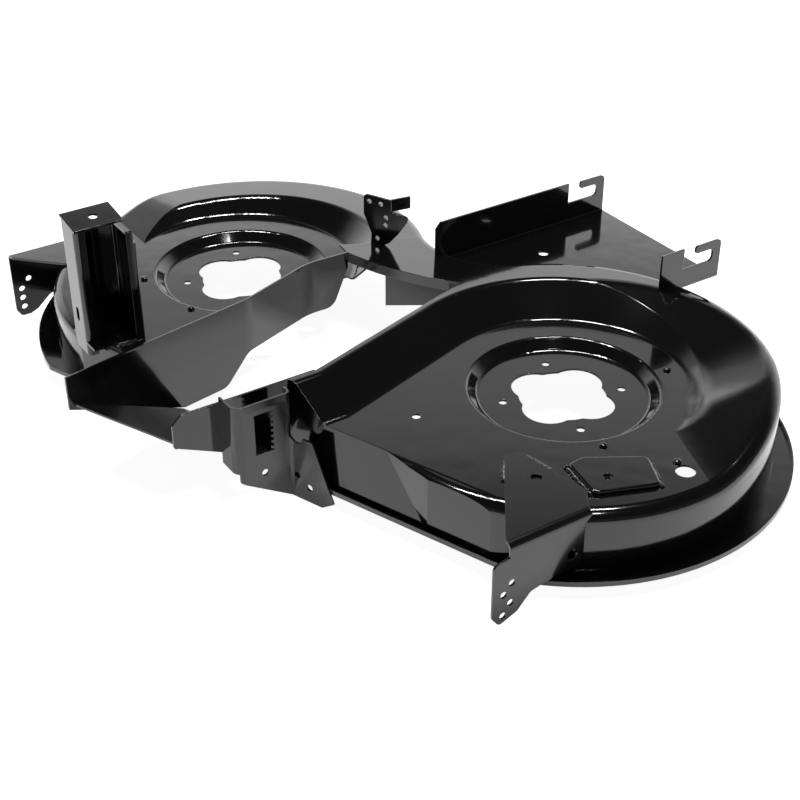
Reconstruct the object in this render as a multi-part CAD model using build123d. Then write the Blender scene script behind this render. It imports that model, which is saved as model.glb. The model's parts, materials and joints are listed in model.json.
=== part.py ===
from build123d import *
import math
import os

# Sheet stock
sheet = 2.5
gauge = 3.0

# Plan of the two blade housings, about the middle of the line between the spindles
hub_span = 500.0
hub_stagger = 190.0
skirt_radius = 267.0
rear_setback = 7.0
neck_setback = 109.2
flange_width = 27.5
rear_flange_width = 7.0
flange_lip = 7.0

# Heights above the rim, and the roundings of the pressings
plate_height = 81.0
band_height = 120.0
shoulder_round = 16.0
foot_round = 12.0
crest_round = 12.0

# Volute of the right housing
right_crest_radius = 213.75
right_wall_run = 1.25
dish_offset = 45.0
dish_heading = 50.0
dish_radius = 212.0
dish_run = 2.75
dish_round = 40.0
right_ramp_start = 112.8
right_ramp_slope = 0.304
right_ramp_heading = 70.0
right_ramp_round = 160.0
right_ramp_sink = 0.3
right_ramp_setback = 0.1

# Volute of the left housing
left_crest_radius = 196.0
left_wall_run = 0.95
left_band_drop = 8.5
left_band_slope = 0.05
left_ramp_start = -82.0
left_ramp_slope = 0.304
left_ramp_round = 150.0

# Hub recess, spindle hole and spindle bolts
recess_radius = 122.0
recess_run = 12.5
recess_depth = 14.0
recess_round = 6.0
spindle_hole_radius = 56.0
lobe_reach = 70.0
lobe_radius = 33.0
bolt_circle = 78.0
bolt_hole = 10.5
bolt_heading = -112.0

# Other holes in the right plate, from the right spindle
sight_hole = 24.0
sight_hole_place = (222.0, 4.0)
drain_hole = 11.0
drain_hole_place = (-45.0, -193.0)

# Discharge tunnel between the housings: its right wall from the right spindle, its left one from the left
tunnel_inset = 150.0
tunnel_heading = 107.0
tunnel_top_width = 9.5
tunnel_rear = -348.0
corner_slope_end = 225.0
corner_slope_run = 15.0
corner_slope_turn = 12.0
left_wall_corners = [(197.0, tunnel_rear), (145.0, -67.0), (102.0, 50.0), (104.0, 115.0)]
left_wall_round = 90.0
neck_edge_bow = 10.1
neck_edge_rise = 74.5
neck_lip = 15.0
tongue_tip_place = (78.0, 118.0)
tongue_knee_place = (94.0, 145.0)
tongue_heading = 85.0
seam_heading = 62.0
seam_lap = 1.5
throat_radius = 205.0

# Chute plates and ramp, from the spindles of their sides
ramp_rear_left_place = (197.0, -342.0)
ramp_rear_right_rise = 68.0
ramp_front_left_place = (174.0, -180.0)
chute_wall_drop = 6.0
chute_corner = 12.0
left_plate_low = 40.0
left_plate_lift_place = -70.0
left_plate_nose_place = 90.0
right_plate_overhang = 5.0

# Baffle below the neck, from the left spindle
baffle_place = (141.0, 155.0)
baffle_length = 230.0
baffle_heading = 57.0
baffle_low = 40.0

# Upright on the left housing, from the left spindle
upright_place = (32.0, -270.0)
upright_depth = 73.0
upright_width = 46.0
upright_height = 250.0
upright_cap_tilt = 8.0
upright_tail = 64.0
upright_front_width = 71.0
upright_front_height = 222.0
upright_lip = 14.0
upright_foot_width = 66.0
upright_bend = 5.0
upright_hole = 12.0
upright_web_hole = 16.0
upright_web_hole_place = (-226.0, 238.0)
upright_slot = 20.0
upright_slot_width = 9.0
upright_slot_height = 118.0
foot_hole = 8.0
foot_hole_places = [(85.0, -232.0), (85.0, -219.0)]

# Wheel brackets, from their spindles
bracket_reach = 224.0
bracket_bend = 9.0
bracket_top = [(208.0, -246.0), (84.0, -155.0), (85.0, -136.0), (191.0, -118.0)]
bracket_top_rounds = [0.0, 4.0, 4.0, 8.0]
bracket_fold = (-135.0, -250.0)
bracket_relief = 15.0
bracket_side = [(-136.0, 51.0), (-148.0, 12.0), (-200.0, 9.0), (-219.0, 5.0), (-237.0, -15.0),
                (-262.0, -25.0), (-272.0, -12.0), (-272.0, 62.0)]
bracket_side_round = 7.0
bracket_hole = 9.0
bracket_hole_places = [(-246.0, 30.0), (-257.0, 17.0), (-247.0, 2.0), (-257.0, -13.0)]
bracket_pivot_hole = 14.0
bracket_pivot_place = (-161.0, 32.0)
bracket_top_hole_place = (140.0, -151.0)
left_bracket_top = [(208.0, -264.0), (84.0, -146.0), (85.0, -127.0), (191.0, -109.0)]
left_bracket_fold = (-126.0, -265.0)
left_bracket_side = [(-127.0, 51.0), (-139.0, 12.0), (-190.0, 9.0), (-211.0, 2.0), (-232.0, -16.0),
                     (-244.0, -21.0), (-258.0, -21.0), (-265.0, -10.0)]
left_bracket_hole_places = [(-240.0, 37.0), (-252.0, 23.0), (-252.5, 8.0), (-252.0, -7.0)]

# Front hanger, from the right spindle
tray_drop = 12.0
tray_height = band_height - tray_drop
hanger_left = -321.0
hanger_right = -71.0
hanger_front = 325.0
hanger_bend = 5.0
ear_height = 170.0
left_ear_rear = [(31.0, ear_height), (23.0, 161.0), (23.0, tray_height)]
right_ear_rear = [(219.0, ear_height), (219.0, tray_height)]
hook_slot_start = 258.0
hook_slot_length = 53.0
hook_slot_floor = 139.0
hook_slot_height = 18.0
hook_mouth = 21.0
hook_bar = 11.0
hook_round = 7.0
tray_hole = 14.0
tray_hole_place = (-255.0, 165.0)

# Toothed quadrant bracket behind the right housing
quadrant_standoff = 38.0
quadrant_rear = -312.0
quadrant_height = 128.0
quadrant_foot = -24.0
quadrant_bend = 6.0
quadrant_rear_bend = 12.0
quadrant_lip = 14.0
quadrant_heel = (-306.0, 20.0)
quadrant_rear_low = 33.0
wing_height = 67.0
wing_top = 33.0
wing_length = 64.0
wing_tip_height = -12.0
wing_foot = 46.0
wing_notch = 9.0
quadrant_hole = 9.0
face_hole_place = (-274.0, 26.0)
wing_hole_places = [(8.0, 10.0), (27.0, -2.0)]
window_width = 25.0
window_height = 57.0
window_rear = -285.0
window_low = 55.0
tooth_count = 7
tooth_depth = 3.0

# Tab bracket on the neck, with its outline along and above the neck
neck_bracket_place = (-146.0, 72.0)
neck_bracket_heading = 30.0
neck_bracket_outline = [(-21.0, 43.0), (-21.0, 74.0), (22.0, 72.0), (22.0, 54.0), (52.0, 51.0),
                        (33.0, 22.0), (19.0, 5.0), (10.0, 0.0), (-10.0, 0.0), (-9.0, 15.0)]
neck_bracket_rounds = [4.0, 6.0, 0.0, 0.0, 5.0, 12.0, 6.0, 0.0, 0.0, 6.0]
neck_bracket_tab = 30.0
neck_bracket_tab_turn = 50.0
neck_bracket_hole = 7.0
neck_bracket_holes = [(-12.0, 64.0), (6.0, 63.0), (14.0, 44.0), (13.0, 32.0), (0.0, 9.0)]

# Seat pad and studs on the plates, from the spindles
pad_outline = [(140.0, -106.0), (139.0, -82.0), (180.0, -17.0), (231.0, -41.0), (201.0, -117.0)]
pad_corner_round = 9.0
pad_hole_place = (187.0, -84.0)
pad_hole = 12.0
pad_height = 6.0
pad_round = 3.0
stud_radius = 5.0
stud_height = 4.0
stud_round = 3.0
right_studs = [(43.0, 135.0), (130.0, -43.0), (203.0, 8.0)]
left_studs = [(65.0, -113.0), (-48.0, -130.0)]

# Places worked out from the plan
half_span = math.hypot(hub_span, hub_stagger) / 2
line_angle = math.degrees(math.atan2(hub_stagger, hub_span))
hub_right = Pos(hub_span / 2, hub_stagger / 2, 0)
hub_left = Pos(-hub_span / 2, -hub_stagger / 2, 0)
right_foot_radius = right_crest_radius - right_wall_run * (band_height - plate_height)
left_band_height = band_height - left_band_drop
rear_reach = skirt_radius - rear_setback
neck_reach = skirt_radius - neck_setback
neck_radius = (half_span ** 2 + neck_reach ** 2 - skirt_radius ** 2) / (2 * neck_setback)
far = 4 * skirt_radius


def polar(distance, heading):
    angle = math.radians(heading)
    return (distance * math.cos(angle), distance * math.sin(angle))


def from_left_hub(place):
    return (place[0] - hub_span / 2, place[1] - hub_stagger / 2)


tunnel_right = hub_span / 2 - tunnel_inset
quadrant_x = tunnel_right + quadrant_standoff
left_wall_path = [from_left_hub(corner) for corner in left_wall_corners]
tongue_tip = from_left_hub(tongue_tip_place)
tongue_knee = from_left_hub(tongue_knee_place)
ramp_rear_left = from_left_hub(ramp_rear_left_place)
ramp_rear_right = (tunnel_right - gauge, ramp_rear_left[1] + ramp_rear_right_rise)
ramp_front_left = from_left_hub(ramp_front_left_place)


def upright_block(plan, height, round_radius):
    block = extrude(plan, height)
    return fillet(block.faces().sort_by(Axis.Z)[-1].edges(), round_radius)


def slope_plane(place, height, slope, heading):
    fall = polar(slope, heading)
    return Plane(origin=(place.position.X, place.position.Y, height), z_dir=(-fall[0], -fall[1], 1))


def turned(corners, rounds):
    outline = make_face(FilletPolyline(*corners, radius=rounds, close=True))
    return revolve(Plane.XZ * outline, Axis.Z)


def skin_shift(run):
    return math.hypot(1, run) - run


def rear_cut(reach):
    strip = Pos(0, -reach - far / 2) * Rectangle(2 * far, far)
    return Rot(Z=line_angle) * strip


def neck_plan(grow):
    neck_depth = math.sqrt((skirt_radius + neck_radius) ** 2 - half_span ** 2)
    corner = (0, neck_depth)
    wedge = make_face(Polyline((-half_span, 0), (half_span, 0), corner, close=True))
    wedge -= Pos(*corner) * Circle(neck_radius - grow)
    return Rot(Z=line_angle) * wedge


def left_plan(grow, reach):
    return hub_left * Circle(skirt_radius + grow) - rear_cut(reach)


def deck_plan(grow, reach):
    strip = Rectangle(2 * half_span, reach, align=(Align.CENTER, Align.MAX))
    plan = hub_right * Circle(skirt_radius + grow)
    plan += hub_left * Circle(skirt_radius + grow)
    plan += Rot(Z=line_angle) * strip
    plan += neck_plan(grow)
    return plan - rear_cut(reach)


def flange(plan):
    edge = plan(flange_width, rear_reach + rear_flange_width)
    edge_inside = plan(flange_width - sheet, rear_reach + rear_flange_width - sheet)
    wall_inside = plan(-sheet, rear_reach - sheet)
    return extrude(edge - wall_inside, sheet) + extrude(edge - edge_inside, flange_lip)


def hub_recess(inset):
    shift = inset * skin_shift(recess_run / recess_depth)
    floor_radius = recess_radius - recess_run + shift
    edge_radius = recess_radius + shift
    floor = plate_height - recess_depth
    corners = [(0, floor), (floor_radius, floor), (edge_radius, plate_height),
               (edge_radius + recess_run, plate_height), (edge_radius + recess_run, far), (0, far)]
    return turned(corners, [0, recess_round + inset, recess_round - inset, 0, 0, 0])


def spindle_holes():
    centre = Circle(spindle_hole_radius)
    for turn in range(4):
        lobe_place = polar(lobe_reach - lobe_radius, bolt_heading + 45 + 90 * turn)
        centre += Pos(*lobe_place) * Circle(lobe_radius)
        centre += Pos(*polar(bolt_circle, bolt_heading + 90 * turn)) * Circle(bolt_hole / 2)
    return extrude(centre, band_height)


def right_volute(inset):
    foot = right_foot_radius + inset * skin_shift(right_wall_run)
    crest = right_crest_radius + inset * skin_shift(right_wall_run)
    rim = crest + 2 * crest_round
    corners = [(0, plate_height), (foot, plate_height), (crest, band_height),
               (rim, band_height), (rim, far), (0, far)]
    rounds = [0, foot_round + inset, crest_round - inset, 0, 0, 0]
    profile = make_face(FilletPolyline(*corners, radius=rounds, close=True))
    bowl = hub_right * revolve(Plane.XZ * profile, Axis.Z)
    side = polar(1, tunnel_heading + 90)
    front = polar(1, tunnel_heading)
    front_wall = extrude(Plane(hub_right.position, side, front) * profile, -far)
    wall_x = tunnel_right + tunnel_top_width + right_crest_radius
    wall_y = hub_right.position.Y - right_foot_radius
    rear_wall = extrude(Plane((wall_x, wall_y), (-1, 0), (0, 1)) * profile, -far)
    return bowl + front_wall + rear_wall


def right_dish():
    foot = dish_radius - dish_run * (band_height - plate_height)
    rim = dish_radius + dish_round
    corners = [(0, plate_height), (foot, plate_height), (dish_radius, band_height),
               (rim, band_height), (rim, far), (0, far)]
    place = hub_right * Pos(*polar(dish_offset, dish_heading))
    return place * turned(corners, [0, 0, dish_round, 0, 0, 0])


def right_ramp(inset):
    foot = plate_height - right_ramp_sink
    top = foot + right_ramp_slope * (far - right_ramp_start)
    corners = [(-far, -far), (-far, foot), (right_ramp_start, foot), (far, top), (far, -far)]
    profile = make_face(FilletPolyline(*corners, radius=[0, 0, right_ramp_round, 0, 0], close=True))
    radius = skirt_radius - right_ramp_setback - inset
    ramp = extrude(Plane.XZ * profile, far, both=True) & Cylinder(radius, 2 * far)
    rim = ramp.edges().filter_by(lambda edge: edge.center().Z > 0 and edge.geom_type != GeomType.LINE)
    ramp = fillet(rim, shoulder_round - inset)
    side = Box(far, far, far, align=(Align.MIN, Align.MAX, Align.MIN))
    side = Pos(-skirt_radius, 0, plate_height - 2 * shoulder_round) * side
    return hub_right * Rot(Z=right_ramp_heading) * (side - ramp)


def corner_slope(inset):
    wall = inset - rear_reach
    lean = corner_slope_run / plate_height
    low = wall - lean * far
    high = wall + lean * far
    wedge = make_face(Polyline((low, -far), (high, far), (-2 * far, far), (-2 * far, -far), close=True))
    end = corner_slope_end / math.cos(math.radians(line_angle))
    fade = Plane((end, wall), z_dir=polar(1, 90 - corner_slope_turn))
    return Rot(Z=line_angle) * split(extrude(Plane.YZ * wedge, 2 * far, both=True), fade, Keep.BOTTOM)


def right_body(inset):
    plan = deck_plan(-inset, rear_reach - inset)
    band = upright_block(plan, band_height, shoulder_round - inset)
    band -= right_ramp(inset)
    band -= right_volute(inset)
    band -= right_dish()
    body = upright_block(plan, plate_height, shoulder_round - inset) + band
    body -= corner_slope(inset)
    return Pos(0, 0, -inset) * (body - hub_right * hub_recess(inset))


def left_volute(inset):
    depth = band_height - plate_height + left_band_slope * skirt_radius
    crest = left_crest_radius + inset * skin_shift(left_wall_run)
    foot = crest - left_wall_run * depth
    rim = crest + 2 * crest_round
    corners = [(0, -depth), (foot, -depth), (crest, 0), (rim, 0), (rim, far), (0, far)]
    bowl = turned(corners, [0, 0, crest_round - inset, 0, 0, 0])
    tilt = slope_plane(hub_left, left_band_height, left_band_slope, 0)
    bowl = split(tilt.location * bowl, Plane.XY.offset(plate_height), Keep.TOP)
    return fillet(bowl.faces().sort_by(Axis.Z)[0].edges(), foot_round + inset)


def left_body(inset):
    ring = hub_left * Circle(skirt_radius - inset)
    tilt = slope_plane(hub_left, left_band_height, left_band_slope, 0)
    ramp_foot = hub_left * Pos(0, left_ramp_start)
    ramp = slope_plane(ramp_foot, plate_height, left_ramp_slope, 90)
    band = split(split(extrude(ring, far), tilt, Keep.BOTTOM), ramp, Keep.BOTTOM)
    crease = band.edges().filter_by(GeomType.LINE).sort_by(SortBy.LENGTH)[-1]
    band = fillet(crease, left_ramp_round - inset)
    round_faces = band.faces().filter_by(GeomType.CYLINDER)
    skirt = round_faces.filter_by(lambda face: abs(face.normal_at().Z) < 0.01)[0]
    rim = skirt.edges().filter_by(lambda edge: edge.geom_type != GeomType.LINE and edge.center().Z > sheet)
    band = fillet(rim, shoulder_round - inset)
    band -= extrude(rear_cut(rear_reach - inset), far)
    band -= left_volute(inset)
    plan = left_plan(-inset, rear_reach - inset)
    body = upright_block(plan, plate_height, shoulder_round - inset) + band
    return Pos(0, 0, -inset) * (body - hub_left * hub_recess(inset))


def neck_corner(rise):
    reach = Pos(*polar(right_crest_radius + tunnel_top_width, tunnel_heading + 90))
    corner = (hub_right * reach * Pos(*polar(rise, tunnel_heading))).position
    return (corner.X, corner.Y)


def tunnel_turn():
    return (tunnel_right - neck_corner(0)[0]) / math.cos(math.radians(tunnel_heading))


def neck_edge():
    return SagittaArc(left_wall_path[-1], neck_corner(neck_edge_rise), -neck_edge_bow)


def tunnel_plan():
    edge_end = neck_corner(neck_edge_rise)
    edge_turn = neck_corner(tunnel_turn())
    outline = FilletPolyline(*left_wall_path, radius=left_wall_round)
    outline += neck_edge()
    outline += Polyline(edge_end, edge_turn, (tunnel_right, left_wall_path[0][1]), left_wall_path[0])
    return make_face(outline)


def left_wall_plan():
    return trace(FilletPolyline(*left_wall_path, radius=left_wall_round), gauge)


def all_through(plan):
    return extrude(plan, far, both=True)


def left_shell():
    shell = left_body(0) - left_body(sheet) + flange(left_plan)
    shell -= all_through(tunnel_plan() + left_wall_plan())
    shell -= all_through(Rectangle(far, 2 * far, align=(Align.MIN, Align.CENTER)))
    lapped = hub_left * Rot(Z=seam_heading - seam_lap) * Rectangle(far, far, align=(Align.MIN, Align.MIN))
    shell -= all_through(neck_plan(0) - hub_left * Circle(throat_radius) - lapped)
    return shell - hub_left * spindle_holes()


def right_shell(left_housing):
    shell = right_body(0) - right_body(sheet) + flange(deck_plan)
    shell -= all_through(tunnel_plan() + left_wall_plan())
    tunnel_side = Rectangle(far, far, align=(Align.MAX, Align.MAX))
    seam_side = hub_left * Rot(Z=seam_heading) * Rectangle(far, far, align=(Align.MIN, Align.MIN))
    wall_end = left_wall_path[-1]
    tongue_end = Vector(*tongue_knee) + Vector(*polar(far, tongue_heading))
    beyond_tongue = make_face(Polyline(wall_end, tongue_tip, tongue_knee, tongue_end, (-far, far),
                                       (-far, -far), (wall_end[0], -far), close=True))
    left_circle = hub_left * Circle(skirt_radius)
    shell -= all_through(tunnel_side)
    shell -= all_through(seam_side)
    shell -= all_through(left_circle & beyond_tongue)
    shell -= extrude(left_circle, band_height - sheet)
    edge_end = neck_corner(neck_edge_rise)
    lip = trace(neck_edge(), 2 * sheet) - tunnel_plan() - left_wall_plan()
    lip -= Pos(*edge_end) * Circle(neck_lip)
    shell += Pos(0, 0, band_height - neck_lip) * extrude(lip, neck_lip - sheet / 2)
    shell -= left_housing
    shell -= hub_right * spindle_holes()
    shell -= hub_right * Pos(*sight_hole_place) * Cylinder(sight_hole / 2, far)
    shell -= hub_right * Pos(*drain_hole_place) * Cylinder(drain_hole / 2, far)
    return shell - hub_right * Pos(*pad_hole_place) * Cylinder(pad_hole / 2, far)


def side_plate(outline, rounds, x, thickness):
    face = make_face(FilletPolyline(*outline, radius=rounds, close=True))
    return extrude(Plane.YZ.offset(x) * face, -thickness)


def side_holes(places, diameter):
    holes = [Pos(*place) * Circle(diameter / 2) for place in places]
    return extrude(Plane.YZ * Sketch(children=holes), far, both=True)


def folded_sheet(line, outer_round):
    middle_line = FilletPolyline(*line, radius=outer_round - gauge / 2)
    return extrude(Plane.XZ * trace(middle_line, gauge), far, both=True)


def ramp_plane():
    rear_edge = Vector(*ramp_rear_right) - Vector(*ramp_rear_left)
    fall = Vector(*ramp_front_left, 0) - Vector(*ramp_rear_left, plate_height)
    return Plane(origin=(*ramp_rear_left, plate_height), z_dir=rear_edge.cross(fall))


def left_chute_plate():
    wall = extrude(left_wall_plan(), band_height)
    rear = left_wall_path[0][1] - gauge
    front = left_wall_path[-1][1] + gauge
    nose = from_left_hub((0, left_plate_nose_place))[1]
    lift = from_left_hub((0, left_plate_lift_place))[1]
    outline = [(rear, plate_height - chute_wall_drop), (rear, far), (front, far),
               (front, band_height - neck_lip), (nose, left_plate_low),
               (lift, left_plate_low), (lift - left_plate_low, 0),
               (ramp_front_left[1], 0)]
    bend = left_plate_low / 2
    return wall & side_plate(outline, [0, 0, 0, 0, bend, bend, bend, 0], far, 2 * far)


def right_chute_plate():
    ramp = ramp_plane()
    ramp_run = -ramp.z_dir.Z / ramp.z_dir.Y
    rear_foot = ramp_rear_right[1]
    rear_low = plate_height - chute_wall_drop
    front_foot = rear_foot - ramp_run * rear_low
    front = neck_corner(tunnel_turn())[1]
    rear = rear_foot - right_plate_overhang
    outline = [(rear + chute_corner, band_height), (rear, band_height - chute_corner), (rear, rear_low),
               (rear_foot, rear_low), (front_foot, 0), (front, 0), (front, band_height)]
    corner = chute_corner / 3
    return side_plate(outline, [corner, corner, corner, 0, 0, 0, 0], tunnel_right, gauge)


def chute_ramp(neighbours):
    front = left_wall_path[1][1]
    plan = make_face(Polyline(ramp_rear_left, ramp_rear_right, (tunnel_right, ramp_rear_right[1]),
                              (tunnel_right, front), left_wall_path[1], close=True)) & tunnel_plan()
    slab = extrude(ramp_plane() * Rectangle(far, far), -gauge)
    ramp = extrude(plan, band_height) & slab
    for neighbour in neighbours:
        ramp -= neighbour
    return ramp


def neck_baffle():
    line = Rectangle(baffle_length, gauge, align=(Align.MIN, Align.CENTER))
    blade = extrude(hub_left * Pos(*baffle_place) * Rot(Z=baffle_heading) * line, band_height)
    return split(blade & right_body(sheet), Plane.XY.offset(baffle_low), Keep.TOP)


def upright_cap_plane():
    x, y = upright_place
    tilt = math.radians(upright_cap_tilt)
    middle = (x + upright_width / 2, y + upright_depth / 2, upright_height)
    return Plane(middle, z_dir=(math.sin(tilt), 0, math.cos(tilt)))


def lift_upright():
    x, y = upright_place
    front = y + upright_depth
    middle_x = x + upright_width / 2
    lip_x = x + upright_front_width
    half = gauge / 2
    rear_x = x + upright_width
    wall_line = [(rear_x - half, y + upright_lip), (rear_x - half, y + half), (x + half, y + half),
                 (x + half, front - half), (lip_x - half, front - half),
                 (lip_x - half, front - upright_lip)]
    walls = trace(FilletPolyline(*wall_line, radius=upright_bend), gauge)
    low_corner = (Align.MIN, Align.MIN)
    front_strip = Pos(x, front - upright_bend) * Rectangle(far, far, align=low_corner)
    post = Pos(0, 0, upright_tail) * extrude(walls, upright_front_height - upright_tail)
    post += Pos(0, 0, upright_tail) * extrude(walls - front_strip, upright_height)
    cap_plane = upright_cap_plane()
    cap = Pos(x, y) * Rectangle(upright_width, upright_depth - upright_bend, align=low_corner)
    cap = split(split(extrude(cap, far), cap_plane, Keep.BOTTOM), cap_plane.offset(-gauge), Keep.TOP)
    cap -= cap_plane * Cylinder(upright_hole / 2, 4 * gauge)
    post = split(post, cap_plane.offset(-gauge), Keep.BOTTOM) + cap
    web_hole = Plane.YZ.offset(x) * Pos(*upright_web_hole_place) * Circle(upright_web_hole / 2)
    post -= extrude(web_hole, 2 * gauge, both=True)
    foot = Pos(x, y) * Rectangle(upright_foot_width, upright_depth, align=low_corner)
    for place in foot_hole_places:
        foot -= Pos(*place) * Circle(foot_hole / 2)
    post += Pos(0, 0, plate_height) * extrude(foot, gauge)
    slot = Pos(middle_x, upright_slot_height) * SlotOverall(upright_slot, upright_slot_width, 90)
    return hub_left * (post - extrude(Plane.XZ.offset(-y) * slot, 2 * gauge, both=True))


def wheel_bracket(top_outline, fold, side_outline, hole_places):
    half = gauge / 2
    fold_corner = (bracket_reach - half, plate_height + half)
    angle = folded_sheet([(0, fold_corner[1]), fold_corner, (fold_corner[0], -far)], bracket_bend)
    fold_x = bracket_reach - bracket_bend
    fold_start = Plane.YZ.offset(fold_x)
    top_corners = [*top_outline, (fold_x, fold[0]), (fold_x, fold[1])]
    top = make_face(FilletPolyline(*top_corners, radius=[*bracket_top_rounds, 0, 0], close=True))
    plate = split(angle, fold_start, Keep.BOTTOM) & all_through(top)
    side = [(fold[0], far), *side_outline, (fold[1], plate_height - bracket_relief), (fold[1], far)]
    rounds = [0, *[bracket_side_round] * len(side_outline), 0, 0]
    lug = split(angle, fold_start, Keep.TOP) & side_plate(side, rounds, far, 2 * far)
    bracket = plate + lug
    bracket -= side_holes(hole_places, bracket_hole)
    bracket -= side_holes([bracket_pivot_place], bracket_pivot_hole)
    return bracket - Pos(*bracket_top_hole_place, plate_height) * Cylinder(bracket_pivot_hole / 2, far)


def hanger_side(rear_edge):
    slot_end = hook_slot_start + hook_slot_length
    slot_top = hook_slot_floor + hook_slot_height
    mouth_end = hook_slot_start + hook_mouth
    bar_top = slot_top + hook_bar
    outline = [*reversed(rear_edge), (hook_slot_start, ear_height), (hook_slot_start, hook_slot_floor),
               (slot_end, hook_slot_floor), (slot_end, slot_top), (mouth_end, slot_top),
               (mouth_end, bar_top), (hanger_front, bar_top), (hanger_front, tray_height)]
    rounds = [0] * (len(rear_edge) + 2)
    rounds += [hook_round, hook_round, hook_bar / 3, hook_bar / 3, hook_round, 0]
    half = gauge / 2
    fold_line = [(4 * hanger_bend, tray_height + half), (half, tray_height + half), (half, far)]
    return folded_sheet(fold_line, hanger_bend) & side_plate(outline, rounds, far, 2 * far)


def largest_solid(piece):
    return piece.solids().sort_by(SortBy.VOLUME)[-1]


def front_hanger():
    width = hanger_right - hanger_left - 4 * hanger_bend
    tray = Box(width, hanger_front, gauge, align=(Align.MIN, Align.MIN, Align.MIN))
    tray = Pos(hanger_left + 2 * hanger_bend, 0, tray_height) * tray
    left = hanger_side(left_ear_rear)
    right = mirror(hanger_side(right_ear_rear), Plane.YZ)
    hanger = tray + Pos(hanger_left, 0, 0) * left + Pos(hanger_right, 0, 0) * right
    hanger -= Pos(*tray_hole_place, tray_height) * Cylinder(tray_hole / 2, 3 * gauge)
    return hub_right * hanger


def quadrant_bracket():
    half = gauge / 2
    face_x = quadrant_x - half
    rear_y = quadrant_rear + half
    wing_shift = rear_reach + rear_flange_width + half
    turn = math.radians(line_angle)
    corner_y = (face_x * math.sin(turn) - wing_shift) / math.cos(turn)
    wing_end = Pos(face_x, corner_y) * Pos(*polar(wing_length, line_angle))
    start = [(tunnel_right, rear_y), (face_x, rear_y), (face_x, corner_y)]
    bends = [quadrant_rear_bend, quadrant_bend]
    upper_line = FilletPolyline(*start, (face_x - quadrant_lip, corner_y), radius=bends)
    lower_line = FilletPolyline(*start, (wing_end.position.X, wing_end.position.Y), radius=bends)
    bracket = Pos(0, 0, wing_height) * extrude(trace(upper_line, gauge), quadrant_height - wing_height)
    bracket += Pos(0, 0, quadrant_foot) * extrude(trace(lower_line, gauge), wing_height - quadrant_foot)
    heel_y, heel_z = quadrant_heel
    below = make_face(Polyline((-far, quadrant_rear_low), (heel_y, quadrant_rear_low), (heel_y, heel_z),
                               (corner_y, quadrant_foot), (corner_y, -far), (-far, -far), close=True))
    bracket -= extrude(Plane.YZ * below, far, both=True)
    wing_plane = Plane((face_x, corner_y), polar(1, line_angle), polar(1, line_angle - 90))
    beyond = make_face(Polyline((wing_top, wing_height), (wing_length, wing_tip_height),
                                (wing_foot, quadrant_foot), (far, quadrant_foot),
                                (far, wing_height), close=True))
    bracket -= extrude(wing_plane * beyond, far, both=True)
    notch = wing_plane * Pos(wing_notch, wing_height) * Circle(wing_notch)
    bracket -= extrude(notch, 4 * quadrant_bend, both=True)
    window = Rectangle(window_width, window_height, align=(Align.MIN, Align.MIN))
    window = Pos(window_rear, window_low) * window
    pitch = window_height / tooth_count
    for tooth in range(tooth_count):
        place = Pos(window_rear + window_width, window_low + pitch * (tooth + 0.5))
        window -= place * Rectangle(2 * tooth_depth, pitch / 2)
    bracket -= extrude(Plane.YZ.offset(quadrant_x) * window, gauge, both=True)
    face_hole = Pos(*face_hole_place) * Circle(quadrant_hole / 2)
    bracket -= extrude(Plane.YZ.offset(quadrant_x) * face_hole, 2 * gauge, both=True)
    for place in wing_hole_places:
        bracket -= extrude(wing_plane * Pos(*place) * Circle(quadrant_hole / 2), 2 * gauge, both=True)
    return bracket


def neck_bracket():
    plane = Plane((*neck_bracket_place, band_height), polar(1, neck_bracket_heading),
                  polar(1, neck_bracket_heading - 90))
    outline = make_face(FilletPolyline(*neck_bracket_outline, radius=neck_bracket_rounds, close=True))
    for place in neck_bracket_holes:
        outline -= Pos(*place) * Circle(neck_bracket_hole / 2)
    bracket = extrude(plane * outline, gauge)
    tab_x, tab_top = neck_bracket_outline[2]
    tab_low = neck_bracket_outline[3][1]
    tab = Box(neck_bracket_tab, tab_top - tab_low, gauge, align=(Align.MIN, Align.MIN, Align.MIN))
    turned_tab = Pos(tab_x - gauge, tab_low, 0) * Rot(Y=neck_bracket_tab_turn) * tab
    return bracket + plane.location * turned_tab


def seat_pad():
    plan = make_face(FilletPolyline(*pad_outline, radius=pad_corner_round, close=True))
    pad = upright_block(plan, pad_height, pad_round)
    pad -= Pos(*pad_hole_place) * Cylinder(pad_hole / 2, far)
    return hub_right * Pos(0, 0, plate_height) * pad


def plate_studs():
    stud = upright_block(Circle(stud_radius), stud_height, stud_round)
    right = [hub_right * Pos(*place, plate_height) * stud for place in right_studs]
    left = [hub_left * Pos(*place, plate_height) * stud for place in left_studs]
    return Compound(right + left)


# Every piece, with what lies on a housing trimmed to its outer face
left_housing = left_shell()
right_housing = right_shell(left_housing)
left_outer = left_body(0) + flange(left_plan)
right_outer = right_body(0) + flange(deck_plan)
left_wall = left_chute_plate() - right_housing
right_wall = right_chute_plate()
right_bracket = wheel_bracket(bracket_top, bracket_fold, bracket_side, bracket_hole_places)
left_bracket = wheel_bracket(left_bracket_top, left_bracket_fold, left_bracket_side,
                             left_bracket_hole_places)

nodes = {
    "left_shell": left_housing,
    "right_shell": right_housing,
    "left_chute_plate": left_wall,
    "right_chute_plate": right_wall,
    "chute_ramp": chute_ramp([left_wall, right_wall]),
    "neck_baffle": neck_baffle() - left_housing,
    "lift_upright": lift_upright() - left_outer,
    "right_wheel_bracket": hub_right * right_bracket - right_outer,
    "left_wheel_bracket": hub_left * mirror(left_bracket, Plane.YZ) - left_outer,
    "front_hanger": largest_solid(front_hanger() - right_outer),
    "quadrant_bracket": quadrant_bracket() - right_outer,
    "neck_bracket": neck_bracket(),
    "seat_pad": seat_pad() - right_outer,
    "plate_studs": plate_studs(),
}

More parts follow.
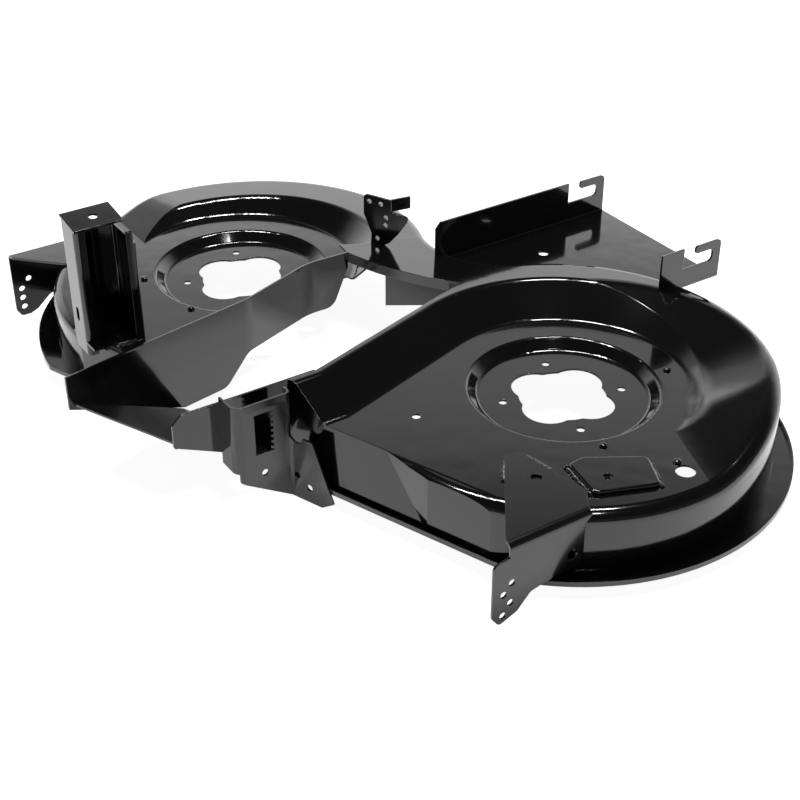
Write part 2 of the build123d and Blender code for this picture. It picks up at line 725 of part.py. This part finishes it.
# Origin below the middle of the whole deck, at its lowest point
box = Compound(list(nodes.values())).bounding_box()
to_origin = Pos(-box.center().X, -box.center().Y, -box.min.Z)
os.makedirs("parts", exist_ok=True)
for name, piece in nodes.items():
    export_step(to_origin * piece, f"parts/{name}.step")
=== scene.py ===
import bpy
import json
import math
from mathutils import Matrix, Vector


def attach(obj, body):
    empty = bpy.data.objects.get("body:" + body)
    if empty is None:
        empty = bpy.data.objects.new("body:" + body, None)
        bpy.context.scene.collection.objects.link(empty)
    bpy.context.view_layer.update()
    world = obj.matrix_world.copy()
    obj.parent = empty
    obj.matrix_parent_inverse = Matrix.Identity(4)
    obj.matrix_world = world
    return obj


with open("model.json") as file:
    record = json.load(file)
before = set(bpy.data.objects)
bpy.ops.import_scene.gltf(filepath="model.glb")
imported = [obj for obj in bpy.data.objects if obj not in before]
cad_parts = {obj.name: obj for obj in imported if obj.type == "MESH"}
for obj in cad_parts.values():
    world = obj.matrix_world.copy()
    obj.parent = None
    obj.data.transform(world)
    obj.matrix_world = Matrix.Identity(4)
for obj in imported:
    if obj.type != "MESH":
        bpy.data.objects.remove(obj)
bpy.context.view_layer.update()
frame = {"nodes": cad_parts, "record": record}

# The right housing is pressed from one sheet of steel: skirt, rolled rim, sloping band and hub recess.
# It is powder coated and baked to a hard black gloss, which runs smooth over every bend of the pressing.
# Its tongue laps over the left housing and is spot welded there.
band_top = 0.144
band_fall = (-0.018, 0.04, 0.0)
band_fade_start = band_top - 0.003
band_fade_end = band_top - 0.0005
edge_round = 0.0009
ramp_crease = (0.402, 0.262, 0.119)
crease_round = 0.018
crease_fade_start = 0.06
crease_fade_end = 0.115
coat_ior = 1.5
cloud_scale = 9.0
cloud_spread = 0.25
dust_scale = 1800.0
dust_start = 0.6
dust_full = 0.85
dust_lift = 2.5
blue_lift = 1.05
wave_scale = 26.0
peel_scale = 420.0


def joined(tree, output, socket):
    tree.links.new(output, socket)


def noise(tree, place, scale, detail):
    grain = tree.nodes.new("ShaderNodeTexNoise")
    grain.inputs["Scale"].default_value = scale
    grain.inputs["Detail"].default_value = detail
    joined(tree, place.outputs["Object"], grain.inputs["Vector"])
    return grain.outputs["Fac"]


def bumped(tree, height, depth, normal):
    relief = tree.nodes.new("ShaderNodeBump")
    relief.inputs["Strength"].default_value = 1.0
    relief.inputs["Distance"].default_value = depth
    joined(tree, height, relief.inputs["Height"])
    joined(tree, normal, relief.inputs["Normal"])
    return relief.outputs["Normal"]


def crowned(tree, place, normal):
    parts = tree.nodes.new("ShaderNodeSeparateXYZ")
    joined(tree, place.outputs["Object"], parts.inputs["Vector"])
    on_band = tree.nodes.new("ShaderNodeMapRange")
    on_band.inputs["From Min"].default_value = band_fade_start
    on_band.inputs["From Max"].default_value = band_fade_end
    joined(tree, parts.outputs["Z"], on_band.inputs["Value"])
    fall = tree.nodes.new("ShaderNodeVectorMath")
    fall.operation = "SCALE"
    fall.inputs[0].default_value = band_fall
    joined(tree, on_band.outputs["Result"], fall.inputs["Scale"])
    leaning = tree.nodes.new("ShaderNodeVectorMath")
    joined(tree, normal, leaning.inputs[0])
    joined(tree, fall.outputs["Vector"], leaning.inputs[1])
    level = tree.nodes.new("ShaderNodeVectorMath")
    level.operation = "NORMALIZE"
    joined(tree, leaning.outputs["Vector"], level.inputs[0])
    return level.outputs["Vector"]


def rolled_edges(tree, place):
    away = tree.nodes.new("ShaderNodeVectorMath")
    away.operation = "DISTANCE"
    away.inputs[1].default_value = ramp_crease
    joined(tree, place.outputs["Object"], away.inputs[0])
    reach = tree.nodes.new("ShaderNodeMapRange")
    reach.inputs["From Min"].default_value = crease_fade_start
    reach.inputs["From Max"].default_value = crease_fade_end
    reach.inputs["To Min"].default_value = crease_round
    reach.inputs["To Max"].default_value = edge_round
    joined(tree, away.outputs["Value"], reach.inputs["Value"])
    softened = tree.nodes.new("ShaderNodeBevel")
    softened.samples = 6
    joined(tree, reach.outputs["Result"], softened.inputs["Radius"])
    return softened.outputs["Normal"]


def black_coat(name, tone, roughness, coat_roughness, wave_depth, peel_depth):
    coat = bpy.data.materials.new(name)
    coat.use_nodes = True
    tree = coat.node_tree
    shader = tree.nodes["Principled BSDF"]
    shader.inputs["IOR"].default_value = coat_ior
    shader.inputs["Coat Weight"].default_value = 1.0
    shader.inputs["Coat Roughness"].default_value = coat_roughness
    shader.inputs["Coat IOR"].default_value = coat_ior
    place = tree.nodes.new("ShaderNodeTexCoord")
    dulling = tree.nodes.new("ShaderNodeMapRange")
    dulling.inputs["To Min"].default_value = roughness * (1 - cloud_spread)
    dulling.inputs["To Max"].default_value = roughness * (1 + cloud_spread)
    joined(tree, noise(tree, place, cloud_scale, 4.0), dulling.inputs["Value"])
    joined(tree, dulling.outputs["Result"], shader.inputs["Roughness"])
    dust = tree.nodes.new("ShaderNodeValToRGB")
    clean, dusty = dust.color_ramp.elements
    clean.position = dust_start
    clean.color = (tone, tone, tone * blue_lift, 1.0)
    dusty.position = dust_full
    dusty.color = (tone * dust_lift, tone * dust_lift, tone * dust_lift, 1.0)
    joined(tree, noise(tree, place, dust_scale, 2.0), dust.inputs["Fac"])
    joined(tree, dust.outputs["Color"], shader.inputs["Base Color"])
    normal = crowned(tree, place, rolled_edges(tree, place))
    normal = bumped(tree, noise(tree, place, wave_scale, 1.0), wave_depth, normal)
    normal = bumped(tree, noise(tree, place, peel_scale, 2.0), peel_depth, normal)
    joined(tree, normal, shader.inputs["Normal"])
    joined(tree, normal, shader.inputs["Coat Normal"])
    return coat


def coated(node, coat):
    piece = frame["nodes"][node]
    piece.data.materials.clear()
    piece.data.materials.append(coat)


gloss_black = black_coat("gloss_black", tone=0.004, roughness=0.13, coat_roughness=0.05,
                         wave_depth=0.0002, peel_depth=0.000003)
coated("right_shell", gloss_black)

# The left housing is the second pressing, of the same sheet and under the same gloss coat.
# Its band tilts towards the outside, and the neck's tongue covers the gap between the two.
coated("left_shell", gloss_black)

# The discharge tunnel runs between the housings: two plates on edge, a sloping ramp and a baffle.
# They are cut from flat sheet, folded and welded to the pressings, then coated with them.
coated("left_chute_plate", gloss_black)
coated("right_chute_plate", gloss_black)
coated("chute_ramp", gloss_black)
coated("neck_baffle", gloss_black)

# The upright is a folded steel channel with a sloping cap and a foot, for the end of the lift rod.
# Its foot is welded on the plate of the left housing, and the gloss coat covers the inside too.
coated("lift_upright", gloss_black)

# The two wheel brackets are folded steel angles, one to each side, with a pivot and four height holes.
# Their top plates lie on the housings and are stitch welded along two edges.
# The coat lies a little duller on this thicker plate.
satin_black = black_coat("satin_black", tone=0.005, roughness=0.22, coat_roughness=0.1,
                         wave_depth=0.00012, peel_depth=0.000005)
coated("right_wheel_bracket", satin_black)
coated("left_wheel_bracket", satin_black)

# The front hanger is a folded steel tray with two hooked ears, which hang the deck on a cross rod.
# It is welded to the side of the right housing, under the same gloss coat.
coated("front_hanger", gloss_black)

# The toothed quadrant bracket is a folded channel beside the tunnel, with a window for the lever's pawl.
# It is punched from sheet and welded to the tunnel's right plate and to the rim.
coated("quadrant_bracket", satin_black)

# The small tab bracket stands beside the neck, cut from plate with its tab folded round.
# It carries clips in its punched holes, and is welded along its foot.
coated("neck_bracket", satin_black)

# The seat pad is a thick pressed plate on the right housing, and the studs are welded stubs.
# All of them are coated together with the housing.
coated("seat_pad", gloss_black)
coated("plate_studs", gloss_black)

# Weld beads run along the edges of the seat pad, of the upright's foot and of the bracket tops.
# Each is a row of overlapping ripples of filler metal, left rough and coated over.
mounts = {mount["name"]: Vector(mount["pos_m"]) for mount in frame["record"]["mounts"]}
right_spindle = mounts["right_spindle_bolts"]
left_spindle = mounts["left_spindle_bolts"]
plate_rise = 0.014
bead_radius = 0.0036
ripple_pitch = 0.0029
bead_seed = 4
flattest_ripple = (0.75, 0.75, 0.6)
fullest_ripple = (1.2, 1.2, 0.85)
stitches = [
    (right_spindle, [(0.1415, -0.1075), (0.171, -0.113), (0.1975, -0.118)]),
    (right_spindle, [(0.19, -0.0205), (0.2295, -0.0395)]),
    (right_spindle, [(0.094, -0.1632), (0.122, -0.1838)]),
    (right_spindle, [(0.1, -0.1322), (0.135, -0.1262)]),
    (left_spindle, [(0.0992, -0.236), (0.0992, -0.204)]),
    (left_spindle, [(0.044, -0.1958), (0.084, -0.1958)]),
    (left_spindle, [(-0.1, -0.1232), (-0.135, -0.1172)]),
]


def stitch_lines(name):
    points = []
    links = []
    for spindle, line in stitches:
        for step, (across, along) in enumerate(line):
            points.append(spindle + Vector((across, along, plate_rise)))
            if step:
                links.append((len(points) - 2, len(points) - 1))
    mesh = bpy.data.meshes.new(name)
    mesh.from_pydata(points, links, [])
    piece = bpy.data.objects.new(name, mesh)
    bpy.context.scene.collection.objects.link(piece)
    return piece


def weld_ripples(name, coat):
    tree = bpy.data.node_groups.new(name, "GeometryNodeTree")
    tree.is_modifier = True
    sockets = tree.interface
    sockets.new_socket("Stitch Lines", in_out="INPUT", socket_type="NodeSocketGeometry")
    inputs = {
        "radius": sockets.new_socket("Bead Radius", in_out="INPUT", socket_type="NodeSocketFloat"),
        "pitch": sockets.new_socket("Ripple Pitch", in_out="INPUT", socket_type="NodeSocketFloat"),
        "seed": sockets.new_socket("Seed", in_out="INPUT", socket_type="NodeSocketInt"),
    }
    sockets.new_socket("Weld Beads", in_out="OUTPUT", socket_type="NodeSocketGeometry")
    start = tree.nodes.new("NodeGroupInput")
    end = tree.nodes.new("NodeGroupOutput")
    line = tree.nodes.new("GeometryNodeMeshToCurve")
    joined(tree, start.outputs["Stitch Lines"], line.inputs["Mesh"])
    ripples = tree.nodes.new("GeometryNodeCurveToPoints")
    ripples.mode = "LENGTH"
    joined(tree, line.outputs["Curve"], ripples.inputs["Curve"])
    joined(tree, start.outputs["Ripple Pitch"], ripples.inputs["Length"])
    drop = tree.nodes.new("GeometryNodeMeshIcoSphere")
    drop.inputs["Subdivisions"].default_value = 3
    joined(tree, start.outputs["Bead Radius"], drop.inputs["Radius"])
    uneven = tree.nodes.new("FunctionNodeRandomValue")
    uneven.data_type = "FLOAT_VECTOR"
    uneven.inputs["Min"].default_value = flattest_ripple
    uneven.inputs["Max"].default_value = fullest_ripple
    joined(tree, start.outputs["Seed"], uneven.inputs["Seed"])
    placed = tree.nodes.new("GeometryNodeInstanceOnPoints")
    joined(tree, ripples.outputs["Points"], placed.inputs["Points"])
    joined(tree, drop.outputs["Mesh"], placed.inputs["Instance"])
    joined(tree, ripples.outputs["Rotation"], placed.inputs["Rotation"])
    joined(tree, uneven.outputs["Value"], placed.inputs["Scale"])
    smooth = tree.nodes.new("GeometryNodeSetShadeSmooth")
    joined(tree, placed.outputs["Instances"], smooth.inputs["Geometry"])
    realized = tree.nodes.new("GeometryNodeRealizeInstances")
    joined(tree, smooth.outputs["Geometry"], realized.inputs["Geometry"])
    finish = tree.nodes.new("GeometryNodeSetMaterial")
    finish.inputs["Material"].default_value = coat
    joined(tree, realized.outputs["Geometry"], finish.inputs["Geometry"])
    joined(tree, finish.outputs["Geometry"], end.inputs["Weld Beads"])
    return tree, inputs


weld_beads = stitch_lines("weld_beads")
welding, weld_inputs = weld_ripples("weld_ripples", satin_black)
bead = weld_beads.modifiers.new("welding", "NODES")
bead.node_group = welding
bead[weld_inputs["radius"].identifier] = bead_radius
bead[weld_inputs["pitch"].identifier] = ripple_pitch
bead[weld_inputs["seed"].identifier] = bead_seed
evaluated = weld_beads.evaluated_get(bpy.context.evaluated_depsgraph_get())
bead_mesh = bpy.data.meshes.new_from_object(evaluated)
weld_beads.modifiers.remove(bead)
weld_beads.data = bead_mesh
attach(weld_beads, "root")

# The studio: a white floor that keeps the deck's shadow, a bright low wall behind the deck,
# a dark ceiling with long soft lamps, and a camera that looks down from the right rear corner.
hub_floor_height = 0.067
deck_middle = (right_spindle + left_spindle) / 2
deck_middle.z -= hub_floor_height
floor_half = 20.0
floor_drop = 0.0005
floor_glow = 0.4
floor_glow_seen = 0.52


def floor_white(name):
    white = bpy.data.materials.new(name)
    white.use_nodes = True
    tree = white.node_tree
    shader = tree.nodes["Principled BSDF"]
    shader.inputs["Base Color"].default_value = (0.8, 0.8, 0.8, 1.0)
    shader.inputs["Roughness"].default_value = 0.9
    shader.inputs["Specular IOR Level"].default_value = 0.0
    shader.inputs["Emission Color"].default_value = (1.0, 1.0, 1.0, 1.0)
    ray = tree.nodes.new("ShaderNodeLightPath")
    lift = tree.nodes.new("ShaderNodeMath")
    lift.operation = "MULTIPLY_ADD"
    lift.inputs[1].default_value = floor_glow_seen
    lift.inputs[2].default_value = floor_glow
    joined(tree, ray.outputs["Is Camera Ray"], lift.inputs[0])
    joined(tree, lift.outputs["Value"], shader.inputs["Emission Strength"])
    return white


floor_mesh = bpy.data.meshes.new("floor")
floor_corners = [(-floor_half, -floor_half, 0), (floor_half, -floor_half, 0),
                 (floor_half, floor_half, 0), (-floor_half, floor_half, 0)]
floor_mesh.from_pydata(floor_corners, [], [(0, 1, 2, 3)])
floor_mesh.materials.append(floor_white("floor_white"))
floor = bpy.data.objects.new("floor", floor_mesh)
floor.location.z = -floor_drop
bpy.context.scene.collection.objects.link(floor)


def graded(tree, height, stops):
    glow = tree.nodes.new("ShaderNodeValToRGB")
    elements = glow.color_ramp.elements
    while len(elements) < len(stops):
        elements.new(1.0)
    for element, (position, value) in zip(elements, stops):
        element.position = position
        element.color = (value, value, value, 1.0)
    joined(tree, height, glow.inputs["Fac"])
    return glow.outputs["Color"]


away_from_camera = (-0.839, 0.545, 0.0)
wall_strength = 1.1
wall_fade_start = 0.3
wall_fade_end = 0.75
back_wall_stops = [(0.0, 1.0), (0.43, 1.0), (0.475, 0.5), (0.56, 0.45), (0.6, 0.2),
                   (0.65, 0.05), (0.707, 0.02), (1.0, 0.015)]
front_wall_stops = [(0.0, 0.12), (0.3, 0.08), (0.5, 0.03), (1.0, 0.02)]


def walled_room(name):
    world = bpy.data.worlds.new(name)
    world.use_nodes = True
    tree = world.node_tree
    room = tree.nodes["Background"]
    room.inputs["Strength"].default_value = wall_strength
    direction = tree.nodes.new("ShaderNodeTexCoord")
    parts = tree.nodes.new("ShaderNodeSeparateXYZ")
    joined(tree, direction.outputs["Generated"], parts.inputs["Vector"])
    back_wall = graded(tree, parts.outputs["Z"], back_wall_stops)
    front_wall = graded(tree, parts.outputs["Z"], front_wall_stops)
    facing = tree.nodes.new("ShaderNodeVectorMath")
    facing.operation = "DOT_PRODUCT"
    facing.inputs[1].default_value = away_from_camera
    joined(tree, direction.outputs["Generated"], facing.inputs[0])
    side = tree.nodes.new("ShaderNodeMapRange")
    side.interpolation_type = "SMOOTHSTEP"
    side.inputs["From Min"].default_value = wall_fade_start
    side.inputs["From Max"].default_value = wall_fade_end
    joined(tree, facing.outputs["Value"], side.inputs["Value"])
    walls = tree.nodes.new("ShaderNodeMix")
    walls.data_type = "RGBA"
    joined(tree, side.outputs["Result"], walls.inputs["Factor"])
    joined(tree, front_wall, walls.inputs["A"])
    joined(tree, back_wall, walls.inputs["B"])
    joined(tree, walls.outputs["Result"], room.inputs["Color"])
    backdrop = tree.nodes.new("ShaderNodeBackground")
    backdrop.inputs["Color"].default_value = (1.0, 1.0, 1.0, 1.0)
    ray = tree.nodes.new("ShaderNodeLightPath")
    seen = tree.nodes.new("ShaderNodeMixShader")
    joined(tree, ray.outputs["Is Camera Ray"], seen.inputs["Fac"])
    joined(tree, room.outputs["Background"], seen.inputs[1])
    joined(tree, backdrop.outputs["Background"], seen.inputs[2])
    joined(tree, seen.outputs["Shader"], tree.nodes["World Output"].inputs["Surface"])
    return world


bpy.context.scene.world = walled_room("studio")


def soft_lamp(name, place, heading, tilt, width, depth, power):
    light = bpy.data.lights.new(name, "AREA")
    light.shape = "RECTANGLE"
    light.size = width
    light.size_y = depth
    light.energy = power
    lamp = bpy.data.objects.new(name, light)
    lamp.location = deck_middle + Vector(place)
    lamp.rotation_euler = (math.radians(tilt), 0.0, math.radians(heading))
    bpy.context.scene.collection.objects.link(lamp)


view_heading = 57.0
across_view = Vector((math.cos(math.radians(view_heading)), math.sin(math.radians(view_heading)), 0.0))
strip_setback = 0.35
strip_height = 2.6
strip_line = strip_setback * Vector(away_from_camera) + Vector((0.0, 0.0, strip_height))
for number, shift in enumerate((-0.6, 0.0, 0.6)):
    soft_lamp(f"overhead_strip_{number}", shift * across_view + strip_line, view_heading, tilt=0.0,
              width=0.45, depth=0.2, power=18)
soft_lamp("window_patch", (1.29, -0.18, 2.25), view_heading, tilt=30.0, width=0.3, depth=0.22, power=6)

camera_data = bpy.data.cameras.new("camera")
camera_data.lens = 67.827
camera_data.sensor_width = 36.0
camera = bpy.data.objects.new("camera", camera_data)
camera_place = Vector((1.4757, -0.9580, 1.1037))
camera_target = Vector((0.05968, -0.02621, 0.0))
camera.location = deck_middle + camera_place
camera.rotation_euler = (camera_target - camera_place).to_track_quat("-Z", "Y").to_euler()
bpy.context.scene.collection.objects.link(camera)
bpy.context.scene.camera = camera
bpy.context.scene.view_settings.view_transform = "Standard"
